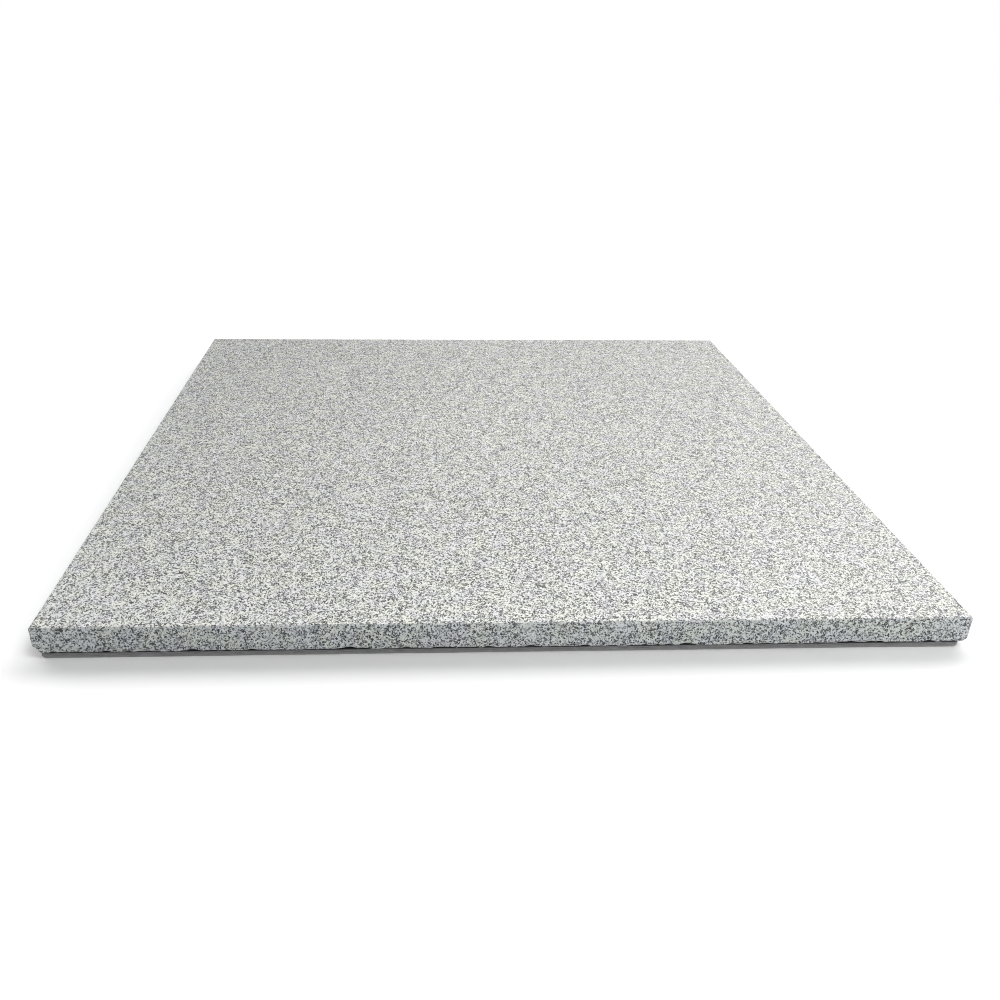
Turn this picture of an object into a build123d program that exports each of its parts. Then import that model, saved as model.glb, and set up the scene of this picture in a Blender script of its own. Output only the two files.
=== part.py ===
from build123d import *

import os

# A granite slab for leatherwork: a sawn stone plate with a rubber backing sheet bonded under it.
# The origin is on the surface that the slab stands on, below the middle of the stone.
# +Z is up and -Y is the front. All sizes are in millimetres.

# Driving dimensions
STONE_SIDE = 305.0  # a 12 inch square
STONE_THICKNESS = 9.5  # 3/8 inch
PAD_THICKNESS = 2.4  # 3/32 inch sheet rubber
PAD_INSET = 1.0  # from the stone's edge to the pad's, all round
PAD_CORNER_RADIUS = 3.0
FILM_THICKNESS = 0.3  # black contact adhesive
FILM_INSET = 0.4  # from the stone's edge to the film's, which has squeezed out past the pad

# How the stone's edges are broken
TOP_BEVEL = 0.6
LOWER_BEVEL = 0.4
CORNER_BEVEL = 0.5

# Corners knocked off the stone's lower face: (side in X, side in Y, leg along each of the three edges)
CORNER_SPALLS = [
    (-1, -1, 3.4),
    (1, -1, 1.9),
    (-1, 1, 1.5),
]

# Heights, from the surface up
FILM_Z = PAD_THICKNESS
STONE_Z = FILM_Z + FILM_THICKNESS
PAD_SIDE = STONE_SIDE - 2 * PAD_INSET
FILM_SIDE = STONE_SIDE - 2 * FILM_INSET
FILM_CORNER_RADIUS = PAD_CORNER_RADIUS + PAD_INSET - FILM_INSET


def square_plate(side, thickness, bottom, corner_radius):
    """A square plate with rounded corners that stands on the height `bottom`."""
    outline = RectangleRounded(side, side, corner_radius)
    return extrude(Pos(0, 0, bottom) * outline, amount=thickness)


def corner_spall(side_x, side_y, leg):
    """The wedge that a knock takes off one lower corner of the stone: a tetrahedron with three equal legs."""
    half = STONE_SIDE / 2
    corner = Vector(side_x * half, side_y * half, STONE_Z)
    spare = leg  # the cutter runs on past the stone, so that its own faces don't lie in the stone's
    tip = corner + Vector(side_x * spare, side_y * spare, -spare)
    reach = leg + 3 * spare
    along_x = tip - Vector(side_x * reach, 0, 0)
    along_y = tip - Vector(0, side_y * reach, 0)
    along_z = tip + Vector(0, 0, reach)
    faces = [
        (tip, along_x, along_y),
        (tip, along_y, along_z),
        (tip, along_z, along_x),
        (along_x, along_y, along_z),
    ]
    return Solid(Shell([Face(Wire.make_polygon(points, close=True)) for points in faces]))


def granite_slab():
    """The stone: sawn square, its top arris eased, its lower one rubbed down, and three corners chipped."""
    stone = Pos(0, 0, STONE_Z) * Box(
        STONE_SIDE,
        STONE_SIDE,
        STONE_THICKNESS,
        align=(Align.CENTER, Align.CENTER, Align.MIN),
    )
    stone = chamfer(stone.edges().filter_by(Axis.Z), CORNER_BEVEL)
    stone = chamfer(stone.faces().sort_by(Axis.Z)[-1].edges(), TOP_BEVEL)
    stone = chamfer(stone.faces().sort_by(Axis.Z)[0].edges(), LOWER_BEVEL)
    for side_x, side_y, leg in CORNER_SPALLS:
        stone -= corner_spall(side_x, side_y, leg)
    return stone


def adhesive_film():
    """The film of adhesive that holds the stone on its backing, a little wider than the backing."""
    return square_plate(FILM_SIDE, FILM_THICKNESS, FILM_Z, FILM_CORNER_RADIUS)


def nonslip_backing_pad():
    """The die-cut rubber sheet that the slab stands on."""
    return square_plate(PAD_SIDE, PAD_THICKNESS, 0.0, PAD_CORNER_RADIUS)


PIECES = {
    "granite_slab": granite_slab,
    "adhesive_film": adhesive_film,
    "nonslip_backing_pad": nonslip_backing_pad,
}

os.makedirs("parts", exist_ok=True)
for node, make in PIECES.items():
    piece = make()
    piece.label = node
    export_step(piece, f"parts/{node}.step")
    size = piece.bounding_box().size
    print(f"{node}: {size.X:.1f} x {size.Y:.1f} x {size.Z:.1f} mm, {piece.volume / 1000:.1f} cm3")
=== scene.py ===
import math

import bpy
import numpy as np
from mathutils import Matrix, Vector


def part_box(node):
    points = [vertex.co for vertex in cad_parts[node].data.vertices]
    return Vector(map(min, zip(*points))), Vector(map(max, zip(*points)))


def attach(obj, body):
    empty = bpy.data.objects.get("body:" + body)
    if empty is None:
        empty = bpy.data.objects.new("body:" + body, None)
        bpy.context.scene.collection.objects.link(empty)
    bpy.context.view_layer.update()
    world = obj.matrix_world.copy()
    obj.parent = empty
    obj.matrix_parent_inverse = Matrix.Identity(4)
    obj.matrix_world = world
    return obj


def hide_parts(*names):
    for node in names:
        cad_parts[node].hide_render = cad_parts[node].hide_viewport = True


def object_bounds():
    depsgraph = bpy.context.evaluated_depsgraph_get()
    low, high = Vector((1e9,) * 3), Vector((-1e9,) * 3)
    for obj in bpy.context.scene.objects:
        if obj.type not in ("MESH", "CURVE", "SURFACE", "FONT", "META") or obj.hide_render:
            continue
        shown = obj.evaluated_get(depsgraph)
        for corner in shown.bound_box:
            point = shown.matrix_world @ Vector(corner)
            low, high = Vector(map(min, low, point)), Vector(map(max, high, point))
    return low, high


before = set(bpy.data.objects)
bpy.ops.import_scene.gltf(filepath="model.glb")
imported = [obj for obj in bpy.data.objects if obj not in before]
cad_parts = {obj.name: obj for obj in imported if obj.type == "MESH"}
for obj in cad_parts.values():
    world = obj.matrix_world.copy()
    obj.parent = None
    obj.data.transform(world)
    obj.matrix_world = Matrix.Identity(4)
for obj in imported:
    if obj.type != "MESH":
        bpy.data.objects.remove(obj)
CAD_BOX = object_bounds()

# A granite slab for leatherwork on its rubber backing sheet. Metres, +Z up, the front towards -Y.
MM = 0.001
SEED = 603

STONE_LOW, STONE_HIGH = (np.array(corner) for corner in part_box("granite_slab"))
PAD_LOW, PAD_HIGH = (np.array(corner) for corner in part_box("nonslip_backing_pad"))
STONE_SIDE = STONE_HIGH[0] - STONE_LOW[0]
PAD_SIDE = PAD_HIGH[0] - PAD_LOW[0]

# The name of the UV map that holds each plate's bake layout
BAKE_MAP = "OFBake"


# ---------------------------------------------------------------- plates

class Plate:
    """A square plate as rings of points: in over its top, down its sides and in under its bottom.

    Each ring is a rounded square. A profile point is (inset from the side, height), and every ring has the
    same number of points, so the points form a grid: rows run down the profile, columns round the plate.
    """

    def __init__(self, half, corner_radius, least_radius, profile, per_side, per_corner):
        self.half = half
        self.per_side = per_side
        self.per_corner = per_corner
        self.per_quarter = per_side + per_corner
        self.columns = 4 * self.per_quarter
        self.insets = np.array([inset for inset, _ in profile])
        self.heights = np.array([height for _, height in profile])
        radii = np.maximum(corner_radius - self.insets, least_radius)
        self.points = np.zeros((len(profile), self.columns, 3))
        self.outward = np.zeros((self.columns, 3))
        along = np.linspace(-1, 1, per_side, endpoint=False)
        angles = np.linspace(0, math.pi / 2, per_corner, endpoint=False)
        for quarter in range(4):
            first = quarter * self.per_quarter
            straight = slice(first, first + per_side)
            corner = slice(first + per_side, first + self.per_quarter)
            turn = quarter * math.pi / 2
            spin = np.array([[math.cos(turn), math.sin(turn)], [-math.sin(turn), math.cos(turn)]])
            for row, (inset, radius) in enumerate(zip(self.insets, radii)):
                reach = half - inset
                flat = reach - radius
                side = np.stack([along * flat, np.full(per_side, -reach)], axis=1)
                bend = np.stack([flat + radius * np.sin(angles), -flat - radius * np.cos(angles)], axis=1)
                self.points[row, straight, :2] = side @ spin
                self.points[row, corner, :2] = bend @ spin
            self.outward[straight, :2] = np.array([0, -1]) @ spin
            self.outward[corner, :2] = np.stack([np.sin(angles), -np.cos(angles)], axis=1) @ spin
        self.points[:, :, 2] = self.heights[:, None]
        self.start = self.points.copy()

    def lengths(self, row):
        """How far each column is along the plate's edge from the first one, on this row."""
        ring = self.start[row]
        steps = np.linalg.norm(np.roll(ring, -1, axis=0) - ring, axis=1)
        return np.concatenate([[0], np.cumsum(steps)])

    def moved(self):
        """How far each point now is from where it started."""
        return np.linalg.norm(self.points - self.start, axis=2)


def smooth_random(rng, count, knots):
    """A smooth closed run of `count` values between -1 and 1 that turns about `knots` times."""
    values = rng.uniform(-1, 1, knots)
    place = np.arange(count) * knots / count
    low = np.floor(place).astype(int)
    part = place - low
    ease = part * part * (3 - 2 * part)
    return values[low % knots] * (1 - ease) + values[(low + 1) % knots] * ease


def wear_arris(plate, row, upright, depth):
    """Rubs an edge of the plate down to a flat, by `depth`. `upright` is 1 at the top and -1 below."""
    direction = plate.outward + np.array([0, 0, upright])
    direction /= np.linalg.norm(direction, axis=1)[:, None]
    arris = plate.start[row]
    beyond = np.einsum("rcx,cx->rc", plate.points - arris, direction) + depth
    beyond = np.maximum(beyond, 0)
    plate.points -= beyond[:, :, None] * direction


def knock_chip(plate, arris, direction, depth, radius):
    """Takes one shell-shaped chip off the plate, where a sphere dips `depth` below the point `arris`."""
    centre = arris + direction * (radius - depth)
    away = plate.points - centre
    inside = (away ** 2).sum(axis=2) < radius ** 2
    held = away[inside]
    along = held @ direction
    reach = along + np.sqrt(along ** 2 - (held ** 2).sum(axis=1) + radius ** 2)
    plate.points[inside] -= reach[:, None] * direction


def cap(plate, row, cells):
    """Points and faces that close the plate inside a row: a strip to a coarse square, and a grid within it.

    Returns the new points, and faces as lists of indices, where index -1 - n means column n of the row.
    """
    side = cells + 1
    reach = plate.half - plate.insets[row] - CAP_STRIP
    steps = np.linspace(-reach, reach, side)
    height = plate.heights[row]
    points = [(x, y, height) for y in steps for x in steps]
    faces = []
    for y in range(cells):
        for x in range(cells):
            corner = y * side + x
            faces.append([corner, corner + 1, corner + side + 1, corner + side])
    last = side - 1
    rims = [
        [x for x in range(side)],
        [y * side + last for y in range(side)],
        [last * side + last - x for x in range(side)],
        [(last - y) * side for y in range(side)],
    ]
    fine = plate.per_side // cells
    for quarter, rim in enumerate(rims):
        first = quarter * plate.per_quarter
        for cell in range(cells):
            start = first + cell * fine
            for column in range(start, start + fine):
                faces.append([-1 - column, -1 - (column + 1) % plate.columns, rim[cell]])
            faces.append([-1 - (start + fine) % plate.columns, rim[cell + 1], rim[cell]])
        for column in range(first + plate.per_side, first + plate.per_quarter):
            faces.append([-1 - column, -1 - (column + 1) % plate.columns, rim[cells]])
    return points, faces


CAP_STRIP = 6 * MM  # between a cap's coarse square and the row that it closes


class BakeLayout:
    """Where each part of a plate lies on its bake map.

    The face that is seen most is a large square. Two sides run up beside it and two along it, each with the
    rim of the other face, and the rest of that face is a small square in the corner.
    """

    GAP = 0.006
    SHARE = 0.885

    def __init__(self, plate, seam_row, shown_is_top):
        self.plate = plate
        self.shown_is_top = shown_is_top
        self.scale = self.SHARE / (2 * plate.half)
        profile = np.stack([plate.insets, plate.heights], axis=1)
        steps = np.linalg.norm(np.diff(profile, axis=0), axis=1)
        down = np.concatenate([[0], np.cumsum(steps)])
        self.across = np.abs(down - down[seam_row]) * self.scale
        outer = plate.lengths(seam_row)
        self.along = (outer - outer[0]) * self.scale
        self.lane = self.across.max() + self.GAP

    def shown(self, point):
        """A point on the large square."""
        flip = 1 if self.shown_is_top else -1
        u = self.GAP + (point[0] * flip + self.plate.half) * self.scale
        v = self.GAP + (point[1] + self.plate.half) * self.scale
        return u, v

    def hidden(self, point):
        """A point on the small square."""
        low = self.SHARE + 2 * self.GAP
        size = 1 - low - self.GAP
        u = low + (point[0] / self.plate.half + 1) / 2 * size
        v = low + (point[1] / self.plate.half + 1) / 2 * size
        return u, v

    def lane_point(self, column, row, next_column):
        """A point on the strip of one side. `next_column` says that it is a face's second column."""
        plate = self.plate
        shifted = column + plate.per_corner // 2
        quarter = (shifted // plate.per_quarter) % 4
        first = quarter * plate.per_quarter - plate.per_corner // 2
        place = column - first if column >= first else column - first + plate.columns
        place %= plate.columns
        run = self.run(place + (1 if next_column else 0))
        offset = self.SHARE + 2 * self.GAP + (quarter // 2) * self.lane + self.across[row]
        if quarter % 2:
            return offset, self.GAP + run
        return self.GAP + run, offset

    def run(self, place):
        """How far along its strip a column is. A strip begins half way round the corner before its side."""
        begin = self.plate.columns - self.plate.per_corner // 2
        first = self.along[begin]
        index = begin + place
        if index >= self.plate.columns:
            return self.along[-1] - first + self.along[index - self.plate.columns]
        return self.along[index] - first


def plate_object(name, plate, cells, seam_row, shown_is_top):
    """The mesh object of a plate, with its bake map and each point's share of wear."""
    rows, columns = plate.points.shape[:2]
    points = [tuple(point) for point in plate.points.reshape(-1, 3)]
    faces = []
    uvs = []
    layout = BakeLayout(plate, seam_row, shown_is_top)

    def on_shown(row):
        return row < seam_row if shown_is_top else row >= seam_row

    for row in range(rows - 1):
        for column in range(columns):
            after = (column + 1) % columns
            corners = [(row, column), (row, after), (row + 1, after), (row + 1, column)]
            faces.append([r * columns + c for r, c in reversed(corners)])
            if on_shown(row):
                uvs.extend(layout.shown(plate.start[r, c]) for r, c in reversed(corners))
            else:
                for r, c in reversed(corners):
                    uvs.append(layout.lane_point(column, r, c == after))

    for row, flip in ((0, False), (rows - 1, True)):
        more, cap_faces = cap(plate, row, cells)
        base = len(points)
        points.extend(more)
        big = shown_is_top == (row == 0)
        place = layout.shown if big else layout.hidden
        for face in cap_faces:
            whole = [row * columns - 1 - n if n < 0 else base + n for n in face]
            if flip:
                whole.reverse()
            faces.append(whole)
            uvs.extend(place(points[index]) for index in whole)

    mesh = bpy.data.meshes.new(name)
    mesh.from_pydata(points, [], faces)
    layer = mesh.uv_layers.new(name=BAKE_MAP)
    layer.data.foreach_set("uv", np.array(uvs, dtype=np.float32).ravel())
    worn = np.zeros(len(points), dtype=np.float32)
    worn[: rows * columns] = np.clip(plate.moved().ravel() / WORN_WHITE, 0, 1)
    mesh.attributes.new("worn", "FLOAT", "POINT").data.foreach_set("value", worn)
    mesh.shade_smooth()
    mesh.set_sharp_from_angle(angle=math.radians(SHARP_ANGLE))
    piece = bpy.data.objects.new(name, mesh)
    bpy.context.scene.collection.objects.link(piece)
    return piece


WORN_WHITE = 0.25 * MM  # a point that lost this much is bruised all through
SHARP_ANGLE = 24  # degrees


# ---------------------------------------------------------------- the stone

CORNER_RADIUS = 0.7 * MM
TOP_WEAR = 0.24 * MM
LOWER_WEAR = 0.16 * MM
SAW_WANDER = 0.05 * MM
# The corners knocked off the lower face, as on the CAD part: (side in X, side in Y, leg along each edge)
CORNER_SPALLS = [
    (-1, -1, 3.4 * MM),
    (1, -1, 1.9 * MM),
    (-1, 1, 1.5 * MM),
]


def stone_profile():
    """The stone's profile: close rows near both arrises, where the chips are, and wider ones between."""
    near = [0.04, 0.16, 0.3, 0.45, 0.62, 0.85, 1.2, 1.7]
    top = STONE_HIGH[2]
    bottom = STONE_LOW[2]
    rows = [(step * MM, top) for step in [5.0, 3.0, *reversed(near)]]
    rows += [(0.0, top - step * MM) for step in near[:7]]
    rows += [(0.0, bottom + step * MM) for step in [7.0, 5.8, 4.8, 4.0, 3.3, 2.7, 2.2, *reversed(near)]]
    rows += [(step * MM, bottom) for step in [*near, 2.2, 2.8, 5.0]]
    return rows


def stone():
    """The stone plate: sides that wander a little, arrises worn and nicked, and a chipped lower edge."""
    rng = np.random.default_rng(SEED)
    profile = stone_profile()
    plate = Plate(STONE_SIDE / 2, CORNER_RADIUS, 0.12 * MM, profile, per_side=448, per_corner=6)
    top_row = next(row for row, (inset, _) in enumerate(profile) if inset == 0)
    low_row = max(row for row, (inset, _) in enumerate(profile) if inset == 0)

    wander = SAW_WANDER * (1 + smooth_random(rng, plate.columns, 60))
    fade = np.clip(1 - plate.insets / (3 * MM), 0, 1)
    plate.points -= (fade[:, None] * wander)[:, :, None] * plate.outward
    plate.start = plate.points.copy()

    columns = plate.columns
    top_wear = TOP_WEAR * (
        1 + 0.25 * smooth_random(rng, columns, 500) + 0.2 * smooth_random(rng, columns, 90)
    )
    low_wear = LOWER_WEAR * (
        1 + 0.6 * smooth_random(rng, columns, 700) + 0.3 * smooth_random(rng, columns, 80)
    )
    wear_arris(plate, top_row, 1, top_wear)
    wear_arris(plate, low_row, -1, low_wear)
    nick_top(plate, top_row, rng)
    chip_bottom(plate, low_row, rng)
    spall_corners(plate)
    plate.points[:, :, 2] = np.clip(plate.points[:, :, 2], STONE_LOW[2], STONE_HIGH[2])
    return plate_object("granite_slab_stone", plate, cells=32, seam_row=top_row, shown_is_top=True)


def nick_top(plate, row, rng):
    """Small nicks along the top arris, where grains have been plucked out."""
    for _ in range(260):
        column = rng.integers(plate.columns)
        steep = math.radians(rng.uniform(35, 60))
        direction = plate.outward[column] * math.cos(steep) + np.array([0, 0, math.sin(steep)])
        depth = TOP_WEAR + rng.uniform(0.02, 0.16) * MM
        arris = plate.start[row, column]
        knock_chip(plate, arris, direction, depth, radius=rng.uniform(1.2, 3.0) * MM)


def chip_bottom(plate, row, rng):
    """Chips along the lower arris: many small ones, some larger and a few that reach up the side."""
    kinds = [
        (620, 0.12, 0.34, 1.2, 4.0),
        (110, 0.34, 0.62, 2.5, 7.0),
        (22, 0.62, 0.95, 4.0, 9.0),
    ]
    for count, least, most, tight, wide in kinds:
        for _ in range(count):
            column = rng.integers(plate.columns)
            steep = math.radians(rng.uniform(25, 62))
            lean = rng.uniform(-0.25, 0.25)
            outward = plate.outward[column]
            sideways = np.array([-outward[1], outward[0], 0])
            direction = outward * math.cos(steep) + sideways * lean - np.array([0, 0, math.sin(steep)])
            direction /= np.linalg.norm(direction)
            depth = LOWER_WEAR + rng.uniform(least, most) * MM * 0.8
            arris = plate.start[row, column]
            knock_chip(plate, arris, direction, depth, radius=rng.uniform(tight, wide) * MM)


def spall_corners(plate):
    """The three lower corners that are broken away, each as one curved break."""
    for side_x, side_y, leg in CORNER_SPALLS:
        corner = np.array([side_x * plate.half, side_y * plate.half, STONE_LOW[2]])
        direction = np.array([side_x, side_y, -1]) / math.sqrt(3)
        depth = leg / math.sqrt(3)
        knock_chip(plate, corner, direction, depth, radius=5 * leg)


# ---------------------------------------------------------------- the backing sheet

PAD_CORNER_RADIUS = 3 * MM
PAD_EDGE_WEAR = 0.06 * MM
CUT_WANDER = 0.10 * MM
CUT_HOLLOW = 0.10 * MM


def backing_pad():
    """The rubber sheet: a cut edge that wanders and is a little hollow, between softened arrises."""
    top = PAD_HIGH[2]
    bottom = PAD_LOW[2]
    near = [0.04, 0.10, 0.18, 0.3, 0.5]
    rows = [(step * MM, top) for step in [4.0, *reversed(near)]]
    rows += [(0.0, top - step * MM) for step in near]
    rows += [(0.0, bottom + step * MM) for step in [1.2, 0.95, 0.7, *reversed(near)]]
    rows += [(step * MM, bottom) for step in [*near, 1.2, 4.0]]
    plate = Plate(PAD_SIDE / 2, PAD_CORNER_RADIUS, 0.12 * MM, rows, per_side=256, per_corner=10)
    top_row = next(row for row, (inset, _) in enumerate(rows) if inset == 0)
    low_row = max(row for row, (inset, _) in enumerate(rows) if inset == 0)

    rng = np.random.default_rng(SEED + 1)
    wander = CUT_WANDER * (1 + smooth_random(rng, plate.columns, 70))
    fade = np.clip(1 - plate.insets / (3 * MM), 0, 1)
    plate.points -= (fade[:, None] * wander)[:, :, None] * plate.outward
    plate.start = plate.points.copy()

    share = np.clip((plate.heights - bottom) / (top - bottom), 0, 1)
    hollow = CUT_HOLLOW * np.sin(share * math.pi)
    hollow[plate.insets > 0] = 0
    drift = 1 + 0.5 * smooth_random(rng, plate.columns, 90)
    plate.points -= (hollow[:, None] * drift)[:, :, None] * plate.outward
    wear_arris(plate, top_row, 1, np.full(plate.columns, PAD_EDGE_WEAR))
    wear_arris(plate, low_row, -1, np.full(plate.columns, 2 * PAD_EDGE_WEAR))
    return plate_object("backing_pad_sheet", plate, cells=32, seam_row=low_row + 1, shown_is_top=False)


# ---------------------------------------------------------------- materials

class Graph:
    """A node tree, with a short call for each kind of node that is used here."""

    def __init__(self, tree):
        self.tree = tree
        self.tree.nodes.clear()

    def node(self, kind, **settings):
        made = self.tree.nodes.new(kind)
        for key, value in settings.items():
            setattr(made, key, value)
        return made

    def join(self, source, socket):
        self.tree.links.new(source, socket)

    def feed(self, socket, value):
        """Links the socket to an output, or sets it to a number or a colour."""
        if isinstance(value, bpy.types.NodeSocket):
            self.join(value, socket)
        else:
            socket.default_value = value

    def millimetres(self, stretch=(1, 1, 1)):
        """The place on the object in millimetres, each axis times its stretch."""
        place = self.node("ShaderNodeTexCoord")
        scaled = self.node("ShaderNodeVectorMath", operation="MULTIPLY")
        self.join(place.outputs["Object"], scaled.inputs[0])
        scaled.inputs[1].default_value = [part / MM for part in stretch]
        return scaled.outputs[0]

    def noise(self, place, size, detail=2.0, roughness=0.5):
        """Noise between 0 and 1 whose largest features are about `size` millimetres."""
        made = self.node("ShaderNodeTexNoise")
        self.join(place, made.inputs["Vector"])
        made.inputs["Scale"].default_value = 1 / size
        made.inputs["Detail"].default_value = detail
        made.inputs["Roughness"].default_value = roughness
        return made.outputs["Fac"]

    def noise_vector(self, place, size, detail=2.0):
        made = self.node("ShaderNodeTexNoise")
        self.join(place, made.inputs["Vector"])
        made.inputs["Scale"].default_value = 1 / size
        made.inputs["Detail"].default_value = detail
        return made.outputs["Color"]

    def cells(self, place, size, feature="F1"):
        """Voronoi cells about `size` millimetres across."""
        made = self.node("ShaderNodeTexVoronoi", feature=feature)
        self.join(place, made.inputs["Vector"])
        made.inputs["Scale"].default_value = 1 / size
        return made

    def math(self, operation, first, second=0.0, third=0.0):
        made = self.node("ShaderNodeMath", operation=operation)
        for socket, value in zip(made.inputs, (first, second, third)):
            self.feed(socket, value)
        return made.outputs[0]

    def warp(self, place, size, amount, detail=2.0):
        """The place, moved about by noise of this size, by up to half the amount."""
        pushed = self.node("ShaderNodeVectorMath", operation="MULTIPLY_ADD")
        self.join(self.noise_vector(place, size, detail), pushed.inputs[0])
        pushed.inputs[1].default_value = [amount] * 3
        self.join(place, pushed.inputs[2])
        return pushed.outputs[0]

    def part(self, colour, channel):
        made = self.node("ShaderNodeSeparateColor")
        self.join(colour, made.inputs[0])
        return made.outputs[channel]

    def mix(self, share, first, second, blend="MIX"):
        made = self.node("ShaderNodeMix", data_type="RGBA", blend_type=blend)
        self.feed(made.inputs[0], share)
        for socket, value in ((made.inputs[6], first), (made.inputs[7], second)):
            self.feed(socket, value)
        return made.outputs[2]

    def step(self, value, low, high):
        """0 below `low`, 1 above `high` and an even rise between."""
        made = self.node("ShaderNodeMapRange")
        self.join(value, made.inputs["Value"])
        self.feed(made.inputs["From Min"], low)
        self.feed(made.inputs["From Max"], high)
        return made.outputs["Result"]

    def between(self, value, low, high):
        """A value between 0 and 1, spread from `low` to `high`."""
        made = self.node("ShaderNodeMapRange")
        self.join(value, made.inputs["Value"])
        made.inputs["To Min"].default_value = low
        made.inputs["To Max"].default_value = high
        return made.outputs["Result"]

    def ramp(self, value, stops, interpolation="LINEAR"):
        made = self.node("ShaderNodeValToRGB")
        made.color_ramp.interpolation = interpolation
        elements = made.color_ramp.elements
        while len(elements) < len(stops):
            elements.new(1.0)
        for element, (place, colour) in zip(elements, stops):
            element.position = place
            element.color = (*colour, 1)
        self.join(value, made.inputs[0])
        return made.outputs[0]

    def attribute(self, name):
        made = self.node("ShaderNodeAttribute", attribute_name=name)
        return made.outputs["Fac"]

    def bump(self, height, distance, strength=1.0, before=None):
        """A bump whose height of 1 stands this many metres out."""
        made = self.node("ShaderNodeBump")
        self.join(height, made.inputs["Height"])
        made.inputs["Distance"].default_value = distance
        made.inputs["Strength"].default_value = strength
        if before is not None:
            self.join(before, made.inputs["Normal"])
        return made.outputs["Normal"]


class Shader(Graph):
    """A material with one Principled surface."""

    def __init__(self, name):
        self.material = bpy.data.materials.new(name)
        self.material.use_nodes = True
        super().__init__(self.material.node_tree)
        self.surface = self.node("ShaderNodeBsdfPrincipled")
        output = self.node("ShaderNodeOutputMaterial")
        self.join(self.surface.outputs["BSDF"], output.inputs["Surface"])


# How wide the stone's grains are, in millimetres
GROUND_GRAIN = 0.56
FLECK = 0.46
PEPPER = 0.28
# The share of the smallest cells that are dark, and how dark the dark grains are
PEPPER_SHARE = 0.08
DARK_GRAIN = (0.020, 0.022, 0.025, 1)

PAINTED_LEFT_SHADE = (0.885, 0.89, 0.895)  # painted shade: how dark the stone is made at its left end
BRUISED = (0.78, 0.78, 0.76, 1)
SAWN_HAZE = 0.08  # how much the saw's crushed skin veils the grains on the sides
SAWN_SKIN = (0.46, 0.47, 0.48, 1)
# The sides' cool tint: partly the sawn finish, partly painted cool shade
SAWN_AND_SHADE_TINT = (0.935, 0.975, 1.0, 1)
HONED_IOR = 1.46


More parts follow.
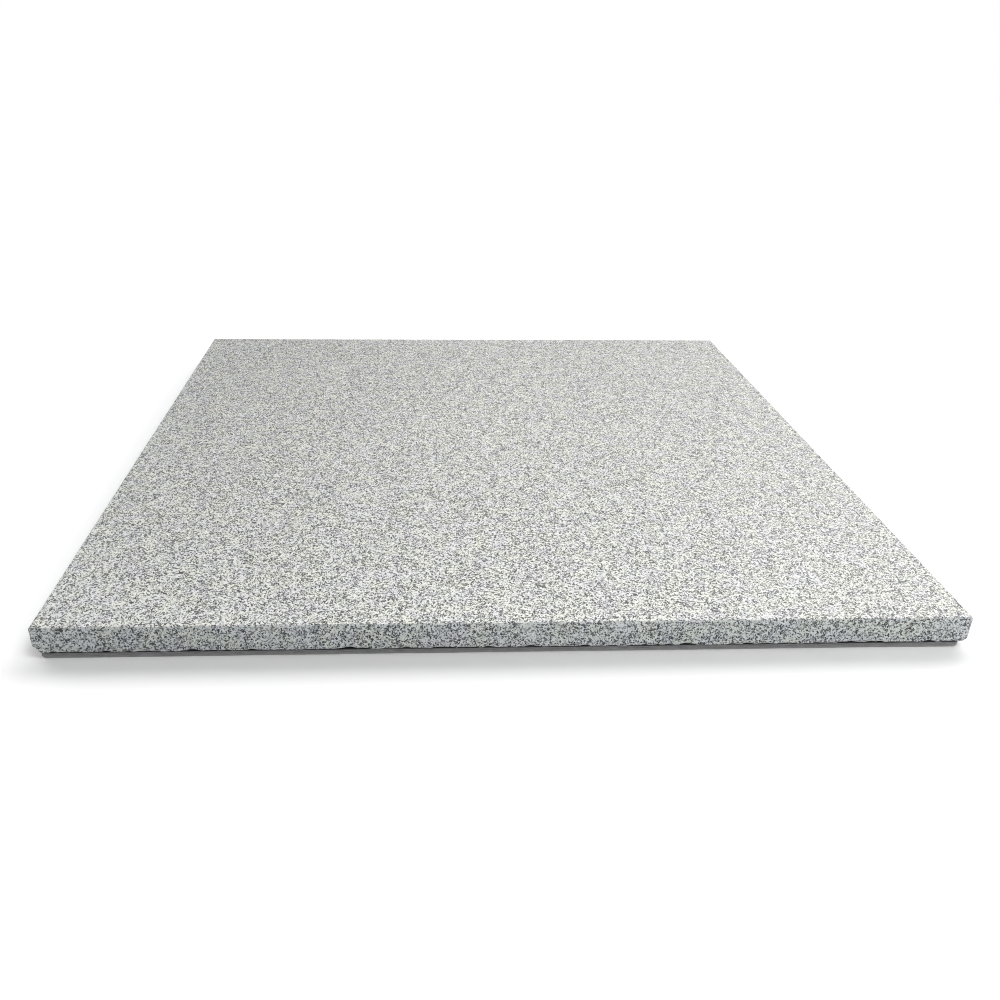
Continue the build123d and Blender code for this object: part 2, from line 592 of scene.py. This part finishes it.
def granite():
    """Fine-grained pale granite, solid all through: feldspar, quartz and biotite, honed on top."""
    s = Shader("pale_granite")
    place = s.millimetres()
    bent = s.warp(place, 0.5, 0.3, detail=3.0)

    # The pale groundmass: each grain takes one mineral's colour
    grains = s.cells(bent, GROUND_GRAIN)
    pick = s.part(grains.outputs["Color"], "Red")
    minerals = [
        (0.0, (0.90, 0.90, 0.89)),
        (0.46, (0.78, 0.78, 0.76)),
        (0.64, (0.57, 0.57, 0.57)),
        (0.76, (0.34, 0.34, 0.35)),
        (0.89, (0.15, 0.15, 0.16)),
    ]
    ground = s.ramp(pick, minerals, "CONSTANT")
    shade = s.noise(place, 0.28, detail=3.0, roughness=0.7)
    cloudy = s.ramp(shade, [(0.3, (0.26, 0.26, 0.27)), (0.7, (1, 1, 1))])
    ground = s.mix(0.38, ground, cloudy, "MULTIPLY")

    # Biotite flecks, closer together in some places than in others
    crowd = s.noise(place, 2.6, detail=2.0, roughness=0.6)
    limit = s.math("MULTIPLY_ADD", s.step(crowd, 0.36, 0.66), 0.26, 0.06)
    flecks = s.cells(s.warp(place, 0.45, 0.3, detail=2.0), FLECK)
    fleck = s.math("LESS_THAN", s.part(flecks.outputs["Color"], "Green"), limit)
    pepper_cells = s.cells(bent, PEPPER)
    pepper = s.math("LESS_THAN", s.part(pepper_cells.outputs["Color"], "Blue"), PEPPER_SHARE)
    dark = s.math("MAXIMUM", fleck, s.math("MULTIPLY", pepper, 0.8))
    colour = s.mix(dark, ground, DARK_GRAIN)

    # Slow drifts of tint, warm to cool
    drift = s.noise(place, 7.0, detail=1.0)
    tints = [
        (0.36, (0.965, 0.97, 0.895)),
        (0.50, (0.95, 0.96, 0.925)),
        (0.64, (0.935, 0.93, 0.945)),
    ]
    tint = s.ramp(drift, tints)
    colour = s.mix(1.0, colour, tint, "MULTIPLY")

    # Painted shade: the stone is darkened towards its left end, where less light falls on it
    along = s.node("ShaderNodeSeparateXYZ")
    s.join(place, along.inputs[0])
    from_left = s.step(along.outputs["X"], -STONE_SIDE / MM / 2, 0.0)
    left_shade = s.ramp(from_left, [(0.0, PAINTED_LEFT_SHADE), (1.0, (1, 1, 1))])
    colour = s.mix(1.0, colour, left_shade, "MULTIPLY")

    # Bruised stone along the chips is crushed white
    worn = s.attribute("worn")
    bruise = s.math("MULTIPLY", s.step(worn, 0.5, 1.1), 0.55)
    colour = s.mix(bruise, colour, BRUISED)

    # Honed on top, sawn on the sides. The sides take a cooler, slightly darker tint: partly the sawn
    # finish, partly painted cool shade
    geometry = s.node("ShaderNodeNewGeometry")
    upright = s.node("ShaderNodeSeparateXYZ")
    s.join(geometry.outputs["True Normal"], upright.inputs[0])
    honed = s.step(upright.outputs["Z"], 0.9, 0.99)
    sawn = s.math("SUBTRACT", 1.0, honed)
    hazed = s.mix(SAWN_HAZE, colour, SAWN_SKIN)
    colour = s.mix(sawn, colour, s.mix(1.0, hazed, SAWN_AND_SHADE_TINT, "MULTIPLY"))
    s.join(colour, s.surface.inputs["Base Color"])
    rough_side = s.between(shade, 0.62, 0.85)
    rough_top = s.between(s.math("SUBTRACT", shade, s.math("MULTIPLY", dark, 0.4)), 0.36, 0.6)
    roughness = s.math("ADD", s.math("MULTIPLY", honed, rough_top), s.math("MULTIPLY", sawn, rough_side))
    s.join(roughness, s.surface.inputs["Roughness"])
    s.surface.inputs["IOR"].default_value = HONED_IOR

    relief = s.math("MULTIPLY_ADD", dark, -0.35, shade)
    fine = s.bump(relief, 0.03 * MM, 0.6)
    saw = s.noise(s.millimetres((0.06, 0.06, 3.0)), 1.0, detail=2.0)
    coarse = s.math("MULTIPLY", sawn, s.math("ADD", saw, s.noise(place, 0.5, 3.0)))
    s.join(s.bump(coarse, 0.08 * MM, 0.7, before=fine), s.surface.inputs["Normal"])
    return s.material


CLOTH_PRINT = 0.35  # the wave texture's scale for threads about 0.9 mm apart
DUST_AND_LIGHT_FOOT = 1.2  # millimetres up the pad's side
FOOT_DUST_AND_LIGHT = (0.42, 0.42, 0.41, 1)


def rubber():
    """Dark grey sheet rubber: a cloth print underneath, streaks where its edge was cut, and some dust. Its
    pale foot is partly dust and partly painted light, and its dark grey partly painted shade.
    """
    s = Shader("rubber_and_painted_shade")
    place = s.millimetres()
    mottle = s.noise(place, 6.0, detail=4.0, roughness=0.65)
    dust = s.noise(place, 0.7, detail=3.0, roughness=0.6)
    streaks = s.noise(s.millimetres((0.25, 0.25, 2.2)), 1.0, detail=3.0, roughness=0.6)
    # Dark grey: partly the rubber's own colour, partly painted shade of the band under the stone
    colour = s.ramp(mottle, [(0.3, (0.250, 0.252, 0.258)), (0.7, (0.300, 0.302, 0.305))])
    cut = s.ramp(streaks, [(0.3, (0.72, 0.72, 0.72)), (0.7, (1.25, 1.25, 1.25))])
    colour = s.mix(1.0, colour, cut, "MULTIPLY")
    worn = s.step(s.attribute("worn"), 0.3, 1.0)
    scuff = s.math("MULTIPLY", worn, s.step(dust, 0.45, 0.7))
    colour = s.mix(s.math("MULTIPLY", scuff, 0.4), colour, (0.24, 0.24, 0.24, 1))
    colour = s.mix(s.math("MULTIPLY", s.step(dust, 0.62, 0.8), 0.25), colour, (0.30, 0.295, 0.28, 1))

    # The foot of the cut edge turns pale: partly clinging dust, partly painted light where the shade under
    # the stone softens towards the floor
    height = s.node("ShaderNodeSeparateXYZ")
    s.join(place, height.inputs[0])
    foot = s.math("POWER", s.step(height.outputs["Z"], DUST_AND_LIGHT_FOOT, 0.0), 1.6)
    facing = s.node("ShaderNodeSeparateXYZ")
    s.join(s.node("ShaderNodeNewGeometry").outputs["True Normal"], facing.inputs[0])
    side = s.step(s.math("ABSOLUTE", facing.outputs["Z"]), 0.9, 0.6)
    patchy = s.between(s.step(dust, 0.3, 0.7), 0.7, 1.0)
    dust_and_light_cover = s.math("MULTIPLY", s.math("MULTIPLY", foot, side), patchy)
    colour = s.mix(dust_and_light_cover, colour, FOOT_DUST_AND_LIGHT)
    s.join(colour, s.surface.inputs["Base Color"])
    s.join(s.between(mottle, 0.72, 0.92), s.surface.inputs["Roughness"])
    s.surface.inputs["IOR"].default_value = 1.5

    threads = []
    for axis in ("X", "Y"):
        wave = s.node("ShaderNodeTexWave", wave_type="BANDS", bands_direction=axis)
        s.join(place, wave.inputs["Vector"])
        wave.inputs["Scale"].default_value = CLOTH_PRINT
        threads.append(wave.outputs["Fac"])
    weave = s.math("MULTIPLY", *threads)
    print_bump = s.bump(weave, 0.06 * MM, 0.6)
    rough_cut = s.bump(streaks, 0.12 * MM, 0.5, before=print_bump)
    s.join(s.bump(dust, 0.05 * MM, 0.5, before=rough_cut), s.surface.inputs["Normal"])
    return s.material


def adhesive():
    """Black contact adhesive, dull where it has skinned over and a little shinier where it has not. Its
    black is partly the adhesive's own colour and partly painted shade of the crease under the stone.
    """
    s = Shader("adhesive_and_painted_shade")
    place = s.millimetres()
    mottle = s.noise(place, 2.5, detail=3.0)
    colour = s.ramp(mottle, [(0.3, (0.010, 0.010, 0.010)), (0.7, (0.022, 0.022, 0.023))])
    s.join(colour, s.surface.inputs["Base Color"])
    s.join(s.between(mottle, 0.45, 0.75), s.surface.inputs["Roughness"])
    s.join(s.bump(mottle, 0.02 * MM, 0.5), s.surface.inputs["Normal"])
    return s.material


def build_pieces():
    """Makes the visible pieces. The CAD film keeps its shape and takes a better material."""
    stone_piece = stone()
    stone_piece.data.materials.append(granite())
    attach(stone_piece, "root")
    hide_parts("granite_slab")

    pad_piece = backing_pad()
    pad_piece.data.materials.append(rubber())
    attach(pad_piece, "root")
    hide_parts("nonslip_backing_pad")

    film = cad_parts["adhesive_film"]
    for film_slot in film.material_slots:
        film_slot.material = adhesive()


# ---------------------------------------------------------------- the setting

FLOOR_REACH = 2.5  # metres from its middle to its edge
# Where the floor starts to glow and where it glows fully, in metres from its middle, and how strongly
GLOW_START = 0.09
GLOW_END = 1.0
GLOW_STRENGTH = 0.6


def floor():
    """A pale floor that is much wider than the view, with painted light: it glows more with distance from
    its middle.
    """
    reach = FLOOR_REACH
    mesh = bpy.data.meshes.new("floor")
    corners = [(-reach, -reach, 0), (reach, -reach, 0), (reach, reach, 0), (-reach, reach, 0)]
    mesh.from_pydata(corners, [], [(0, 1, 2, 3)])
    piece = bpy.data.objects.new("floor", mesh)
    bpy.context.scene.collection.objects.link(piece)
    piece.location.z = CAD_BOX[0].z
    s = Shader("pale_floor")
    s.surface.inputs["Base Color"].default_value = (0.95, 0.95, 0.95, 1)
    s.surface.inputs["Roughness"].default_value = 0.9
    s.surface.inputs["Specular IOR Level"].default_value = 0.0
    # Painted light: the floor glows more the farther it is from its middle, fading up into white and
    # lifting the edges of the slab's shadow
    away = s.node("ShaderNodeVectorMath", operation="LENGTH")
    s.join(s.node("ShaderNodeTexCoord").outputs["Object"], away.inputs[0])
    s.surface.inputs["Emission Color"].default_value = (1, 1, 1, 1)
    glow = s.math("MULTIPLY", s.step(away.outputs["Value"], GLOW_START, GLOW_END), GLOW_STRENGTH)
    s.join(glow, s.surface.inputs["Emission Strength"])
    mesh.materials.append(s.material)


# The room's soft boxes, too far away to fade across the slab: (azimuth from the back, clockwise as seen
# from above, elevation, strength), in degrees
FAR_LIGHTS = [
    (45, 33, 3.6),
    (12, 36, 1.7),
    (-45, 33, 3.3),
]
FAR_LIGHT_CORE = 12  # degrees from a box's middle to where it starts to fade
FAR_LIGHT_EDGE = 30
# The near ones, which do: (name, place in metres, size, power)
NEAR_LIGHTS = [
    ("back_softbox", (0.0, 0.6, 0.9), 0.6, 2.1),
    ("right_softbox", (0.24, -0.45, 0.8), 0.4, 3.6),
    ("front_softbox", (0.35, -0.65, 0.3), 0.3, 0.85),
]


def studio_light():
    """A plain white room with wide soft boxes far behind the slab and small ones near it."""
    scene = bpy.context.scene
    for name, place, size, power in NEAR_LIGHTS:
        lamp = bpy.data.lights.new(name, "AREA")
        lamp.shape = "SQUARE"
        lamp.size = size
        lamp.energy = power
        softbox = bpy.data.objects.new(name, lamp)
        softbox.location = place
        softbox.rotation_mode = "QUATERNION"
        softbox.rotation_quaternion = (-softbox.location).to_track_quat("-Z", "Y")
        scene.collection.objects.link(softbox)

    world = bpy.data.worlds.new("white_room")
    scene.world = world
    world.use_nodes = True
    s = Graph(world.node_tree)
    direction = s.node("ShaderNodeTexCoord").outputs["Generated"]
    level = 0.0
    for azimuth, elevation, strength in FAR_LIGHTS:
        turn = math.radians(azimuth)
        rise = math.radians(elevation)
        towards = s.node("ShaderNodeVectorMath", operation="DOT_PRODUCT")
        s.join(direction, towards.inputs[0])
        middle = (math.sin(turn) * math.cos(rise), math.cos(turn) * math.cos(rise), math.sin(rise))
        towards.inputs[1].default_value = middle
        angle = s.math("ARCCOSINE", s.math("MINIMUM", towards.outputs["Value"], 1.0))
        fade = s.node("ShaderNodeMapRange", interpolation_type="SMOOTHSTEP")
        s.join(angle, fade.inputs["Value"])
        fade.inputs["From Min"].default_value = math.radians(FAR_LIGHT_EDGE)
        fade.inputs["From Max"].default_value = math.radians(FAR_LIGHT_CORE)
        level = s.math("MULTIPLY_ADD", fade.outputs["Result"], strength, level)
    room = s.node("ShaderNodeBackground")
    s.join(level, room.inputs["Color"])
    backdrop = s.node("ShaderNodeBackground")
    backdrop.inputs["Color"].default_value = (1, 1, 1, 1)
    path = s.node("ShaderNodeLightPath")
    either = s.node("ShaderNodeMixShader")
    s.join(path.outputs["Is Camera Ray"], either.inputs[0])
    s.join(room.outputs[0], either.inputs[1])
    s.join(backdrop.outputs[0], either.inputs[2])
    s.join(either.outputs[0], s.node("ShaderNodeOutputWorld").inputs["Surface"])
    scene.view_settings.view_transform = "Standard"
    scene.view_settings.look = "None"
    # The stone's grain is about as fine as a pixel, so the filter and the denoiser mustn't smear it
    scene.cycles.filter_width = 1.0
    scene.cycles.denoising_prefilter = "NONE"


# The camera stands in front of the slab and a little to its left, and looks down on it. Its place is in
# sides of the stone, from the middle of the working face. Its angles are in degrees.
CAMERA_PLACE = (-0.0991, -1.3077, 0.5560)
CAMERA_YAW = 2.984
CAMERA_DOWN = 26.897
CAMERA_ROLL = 1.049
CAMERA_LENS = 33.378
CAMERA_SHIFT = 0.0399


def camera():
    data = bpy.data.cameras.new("camera")
    data.lens = CAMERA_LENS
    data.sensor_width = 36.0
    data.shift_x = CAMERA_SHIFT
    data.clip_start = 0.01
    data.clip_end = 50.0
    piece = bpy.data.objects.new("camera", data)
    middle = Vector((0, 0, STONE_HIGH[2]))
    piece.location = middle + Vector(CAMERA_PLACE) * STONE_SIDE
    yaw = Matrix.Rotation(math.radians(-CAMERA_YAW), 4, "Z")
    tilt = Matrix.Rotation(math.radians(90 - CAMERA_DOWN), 4, "X")
    roll = Matrix.Rotation(math.radians(CAMERA_ROLL), 4, "Z")
    piece.rotation_mode = "QUATERNION"
    piece.rotation_quaternion = (yaw @ tilt @ roll).to_quaternion()
    bpy.context.scene.collection.objects.link(piece)
    bpy.context.scene.camera = piece


camera()
floor()
studio_light()
build_pieces()

bpy.context.view_layer.update()
